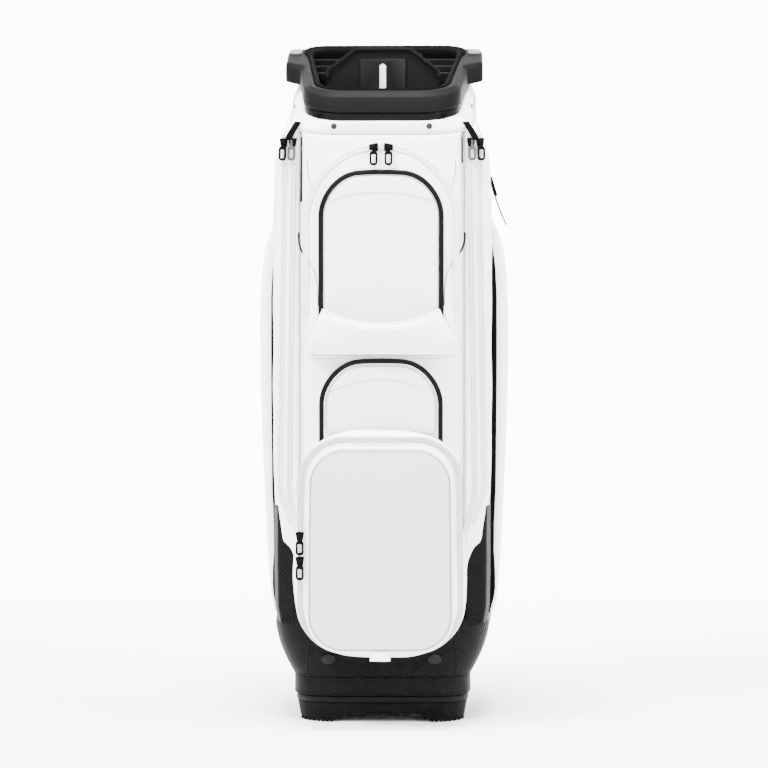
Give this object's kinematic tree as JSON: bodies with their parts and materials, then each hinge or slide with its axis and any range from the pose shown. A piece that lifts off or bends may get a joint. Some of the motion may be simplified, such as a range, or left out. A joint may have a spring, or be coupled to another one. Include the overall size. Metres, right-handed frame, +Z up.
{
  "type": "cart golf bag",
  "caption": "Cart-style golf bag with a slanted moulded top and divided slots, a putter well, zipped white fabric pockets, a black twill lower body and a moulded base.",
  "frame": {"origin": "on the ground under the middle of the bag's bounding box", "axes": "+Z up, -Y is the front with the large pockets, +X is the right side as seen from the front"},
  "size_m": [0.337, 0.36, 0.905],
  "materials": {
    "collar_plastic": "fine moulded texture, dark grey",
    "grip_plastic": "satin light grey",
    "base_plastic": "fine moulded texture, black",
    "foot_rubber": "matte black, ribbed",
    "white_fabric": "smooth coated white fabric with fine grain",
    "twill_fabric": "black coated fabric with a diagonal rib",
    "black_fabric": "black woven fabric",
    "black_binding": "black synthetic leather",
    "white_coil": "white nylon coil on tape",
    "zip_black": "satin black moulding",
    "zip_grey": "satin grey moulding",
    "fastener_metal": "dark plated steel",
    "rod_fibre": "glass fibre rod",
    "inlay_plastic": "light grey insert",
    "foam": "dark foam pad",
    "webbing": "black ribbed webbing"
  },
  "bodies": {
    "root": {"base_band": "twill_fabric", "base_binding": "black_binding", "base_feet": "foot_rubber", "base_tray": "base_plastic", "collar_lining": "black_fabric", "cuff": "white_fabric", "cuff_rivets": "fastener_metal", "cuff_snaps": "zip_black", "divider_rails": "collar_plastic", "divider_sheets": "black_fabric", "drop_pouch": "white_fabric", "floor_pad": "foam", "gasket": "black_binding", "gusset_strips": "black_fabric", "handle_grips": "grip_plastic", "lower_front_panel": "white_fabric", "lower_pocket": "white_fabric", "lower_pocket_panel": "white_fabric", "lower_side_left": "twill_fabric", "lower_side_right": "twill_fabric", "lower_skirt": "twill_fabric", "lower_track": "white_coil", "main_shell": "white_fabric", "middle_pocket": "white_fabric", "plate_inlay": "inlay_plastic", "pocket_piping": "black_binding", "putter_plate": "collar_plastic", "rear_handle": "webbing", "rear_pocket_left": "white_fabric", "rear_pocket_right": "white_fabric", "shoulder_strap": "black_fabric", "side_pocket_left": "white_fabric", "side_pocket_right": "white_fabric", "side_tracks": "white_coil", "skirt_badges": "black_binding", "spine_panel": "black_fabric", "stay_rods": "rod_fibre", "strap_buckles": "zip_black", "strap_webbing": "webbing", "top_collar": "collar_plastic", "upper_front_panel": "white_fabric", "upper_pocket": "white_fabric", "upper_pocket_panel": "white_fabric", "upper_track": "white_coil"},
    "upper_right_slider": {"upper_right_slider": "zip_black"},
    "upper_right_pull": {"upper_right_pull": "zip_black"},
    "upper_left_slider": {"upper_left_slider": "zip_black"},
    "upper_left_pull": {"upper_left_pull": "zip_black"},
    "lower_top_slider": {"lower_top_slider": "zip_black"},
    "lower_top_pull": {"lower_top_pull": "zip_black"},
    "lower_bottom_slider": {"lower_bottom_slider": "zip_black"},
    "lower_bottom_pull": {"lower_bottom_pull": "zip_black"},
    "side_front_right_slider": {"side_front_right_slider": "zip_black"},
    "side_front_right_pull": {"side_front_right_pull": "zip_grey"},
    "side_front_left_slider": {"side_front_left_slider": "zip_black"},
    "side_front_left_pull": {"side_front_left_pull": "zip_grey"},
    "side_rear_right_slider": {"side_rear_right_slider": "zip_black"},
    "side_rear_right_pull": {"side_rear_right_pull": "zip_grey"},
    "side_rear_left_slider": {"side_rear_left_slider": "zip_black"},
    "side_rear_left_pull": {"side_rear_left_pull": "zip_grey"}
  },
  "joints": [
    {"name": "upper_right_zip", "type": "hinge", "parent": "root", "child": "upper_right_slider", "pos_m": [0, -0.115, 0.656], "axis": [0, 1, 0], "range_deg": [0, 66]},
    {"name": "upper_right_pull_lift", "type": "hinge", "parent": "upper_right_slider", "child": "upper_right_pull", "pos_m": [0.0097, -0.1231, 0.75452], "axis": [-1, 0, 0], "range_deg": [0, 110]},
    {"name": "upper_left_zip", "type": "hinge", "parent": "root", "child": "upper_left_slider", "pos_m": [0, -0.115, 0.656], "axis": [0, -1, 0], "range_deg": [0, 66]},
    {"name": "upper_left_pull_lift", "type": "hinge", "parent": "upper_left_slider", "child": "upper_left_pull", "pos_m": [-0.0097, -0.1231, 0.75452], "axis": [-1, 0, 0], "range_deg": [0, 110]},
    {"name": "lower_top_zip", "type": "slide", "parent": "root", "child": "lower_top_slider", "axis": [0, 0, 1], "range_m": [0, 0.055]},
    {"name": "lower_top_pull_lift", "type": "hinge", "parent": "lower_top_slider", "child": "lower_top_pull", "pos_m": [-0.103, -0.1771, 0.253], "axis": [-1, 0, 0], "range_deg": [0, 110]},
    {"name": "lower_bottom_zip", "type": "slide", "parent": "root", "child": "lower_bottom_slider", "axis": [0, 0, -1], "range_m": [0, 0.08]},
    {"name": "lower_bottom_pull_lift", "type": "hinge", "parent": "lower_bottom_slider", "child": "lower_bottom_pull", "pos_m": [-0.103, -0.1771, 0.221], "axis": [-1, 0, 0], "range_deg": [0, 110]},
    {"name": "side_front_right_zip", "type": "slide", "parent": "root", "child": "side_front_right_slider", "axis": [0.0161, 0.0051, -0.9999], "range_m": [0, 0.43]},
    {"name": "side_front_right_pull_lift", "type": "hinge", "parent": "side_front_right_slider", "child": "side_front_right_pull", "pos_m": [0.11818, -0.07779, 0.763], "axis": [-0.953, -0.3025, -0.0169], "range_deg": [0, 110]},
    {"name": "side_front_left_zip", "type": "slide", "parent": "root", "child": "side_front_left_slider", "axis": [-0.0161, 0.0051, -0.9999], "range_m": [0, 0.43]},
    {"name": "side_front_left_pull_lift", "type": "hinge", "parent": "side_front_left_slider", "child": "side_front_left_pull", "pos_m": [-0.11818, -0.07779, 0.763], "axis": [-0.953, 0.3025, 0.0169], "range_deg": [0, 110]},
    {"name": "side_rear_right_zip", "type": "slide", "parent": "root", "child": "side_rear_right_slider", "axis": [0.0161, 0.0051, -0.9999], "range_m": [0, 0.43]},
    {"name": "side_rear_right_pull_lift", "type": "hinge", "parent": "side_rear_right_slider", "child": "side_rear_right_pull", "pos_m": [0.1301, -0.07401, 0.763], "axis": [-0.953, -0.3025, -0.0169], "range_deg": [0, 110]},
    {"name": "side_rear_left_zip", "type": "slide", "parent": "root", "child": "side_rear_left_slider", "axis": [-0.0161, 0.0051, -0.9999], "range_m": [0, 0.43]},
    {"name": "side_rear_left_pull_lift", "type": "hinge", "parent": "side_rear_left_slider", "child": "side_rear_left_pull", "pos_m": [-0.1301, -0.07401, 0.763], "axis": [-0.953, 0.3025, 0.0169], "range_deg": [0, 110]}
  ]
}
